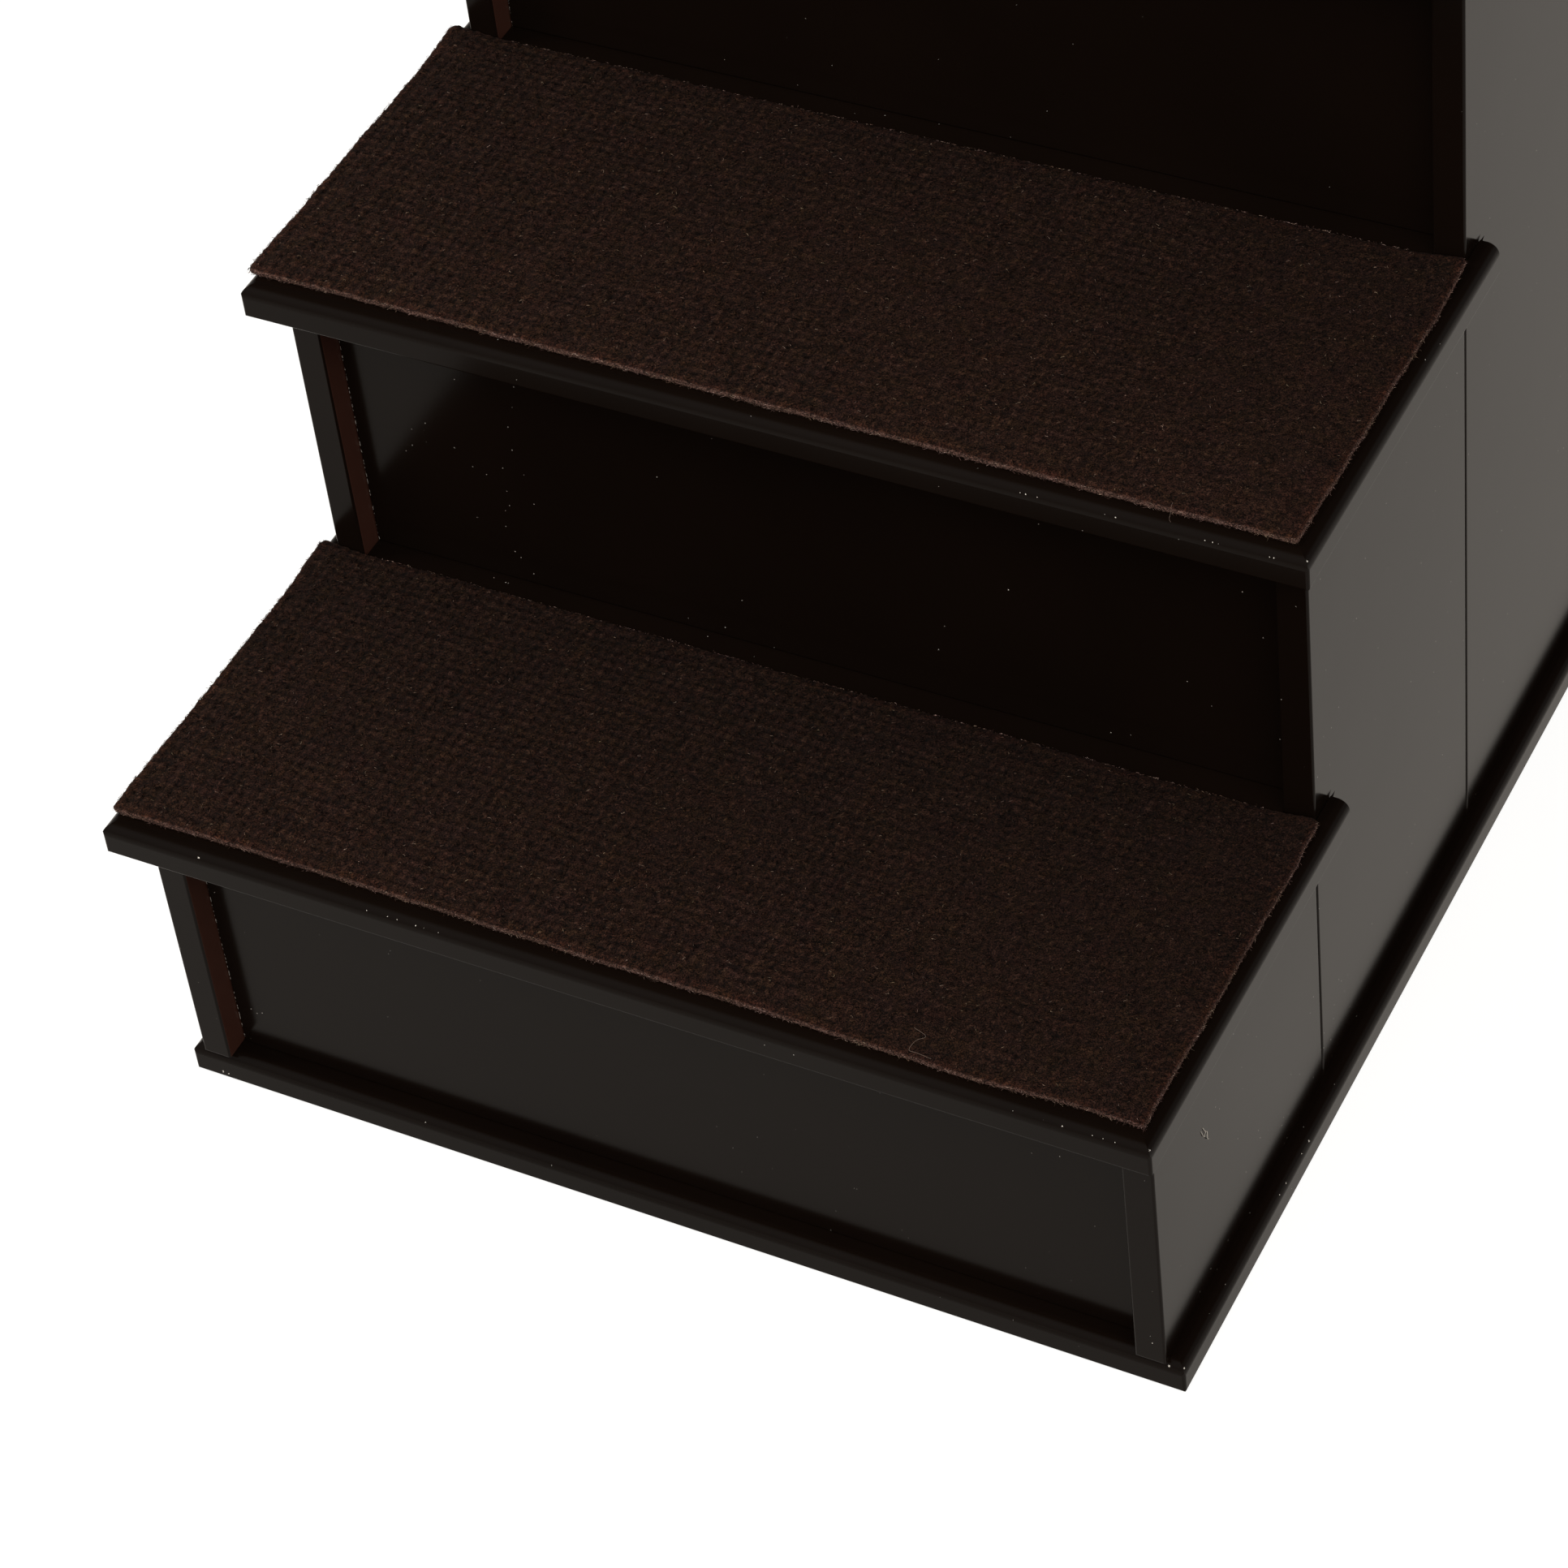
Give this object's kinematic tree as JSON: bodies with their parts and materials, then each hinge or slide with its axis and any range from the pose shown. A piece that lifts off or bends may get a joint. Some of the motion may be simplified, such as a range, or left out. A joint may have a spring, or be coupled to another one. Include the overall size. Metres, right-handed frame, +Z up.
{
  "type": "pet stairs",
  "caption": "Low dark-painted board stairs for a small pet, with an overhanging tread and a loose brown carpet mat on each step, closed sides and a flat base.",
  "frame": {"origin": "on the floor under the middle of the whole part's box", "axes": "+Z up, the stairs climb towards +Y, +X is on the right of someone facing up the stairs"},
  "size_m": [0.4153, 0.4646, 0.4341],
  "materials": {
    "painted_board": "near-black espresso brown paint, semi-gloss, on fibreboard",
    "batten_wood": "bare planed pine",
    "dowel_wood": "bare turned beech",
    "fitting_metal": "dull zinc plating",
    "screw_steel": "bright zinc plating",
    "hook_tape": "black woven tape covered with small hooks",
    "foot_rubber": "matt black rubber",
    "mat_carpet": "short-pile ribbed carpet in dark brown with cut, slightly frayed edges"
  },
  "bodies": {
    "stairs": {"base_board": "painted_board", "side_board_1_left": "painted_board", "side_board_1_right": "painted_board", "side_board_2_left": "painted_board", "side_board_2_right": "painted_board", "side_board_3_left": "painted_board", "side_board_3_right": "painted_board", "riser_1": "painted_board", "riser_2": "painted_board", "riser_3": "painted_board", "tread_1": "painted_board", "tread_2": "painted_board", "tread_3": "painted_board", "back_panel": "painted_board", "tread_bearer_1_left": "batten_wood", "tread_bearer_1_right": "batten_wood", "tread_bearer_2_left": "batten_wood", "tread_bearer_2_right": "batten_wood", "tread_bearer_3_left": "batten_wood", "tread_bearer_3_right": "batten_wood", "rear_cleat_left": "batten_wood", "rear_cleat_right": "batten_wood", "foot_pad_front_left": "foot_rubber", "foot_pad_front_right": "foot_rubber", "foot_pad_middle_left": "foot_rubber", "foot_pad_middle_right": "foot_rubber", "foot_pad_back_left": "foot_rubber", "foot_pad_back_right": "foot_rubber", "dowels": "dowel_wood", "cam_locks": "fitting_metal", "cam_bolts": "fitting_metal", "base_screws": "screw_steel", "riser_screws": "screw_steel", "bearer_screws": "screw_steel", "cleat_screws": "screw_steel", "back_screws": "screw_steel", "hook_strips_1": "hook_tape", "hook_strips_2": "hook_tape", "hook_strips_3": "hook_tape"},
    "mat_1": {"carpet_mat_1": "mat_carpet"},
    "mat_2": {"carpet_mat_2": "mat_carpet"},
    "mat_3": {"carpet_mat_3": "mat_carpet"}
  },
  "joints": [
    {"name": "mat_1_lift", "type": "slide", "parent": "stairs", "child": "mat_1", "axis": [0, -0.7071, 0.7071], "range_m": [0, 0.25]},
    {"name": "mat_2_lift", "type": "slide", "parent": "stairs", "child": "mat_2", "axis": [0, -0.7071, 0.7071], "range_m": [0, 0.25]},
    {"name": "mat_3_lift", "type": "slide", "parent": "stairs", "child": "mat_3", "axis": [0, -0.7071, 0.7071], "range_m": [0, 0.25]}
  ]
}
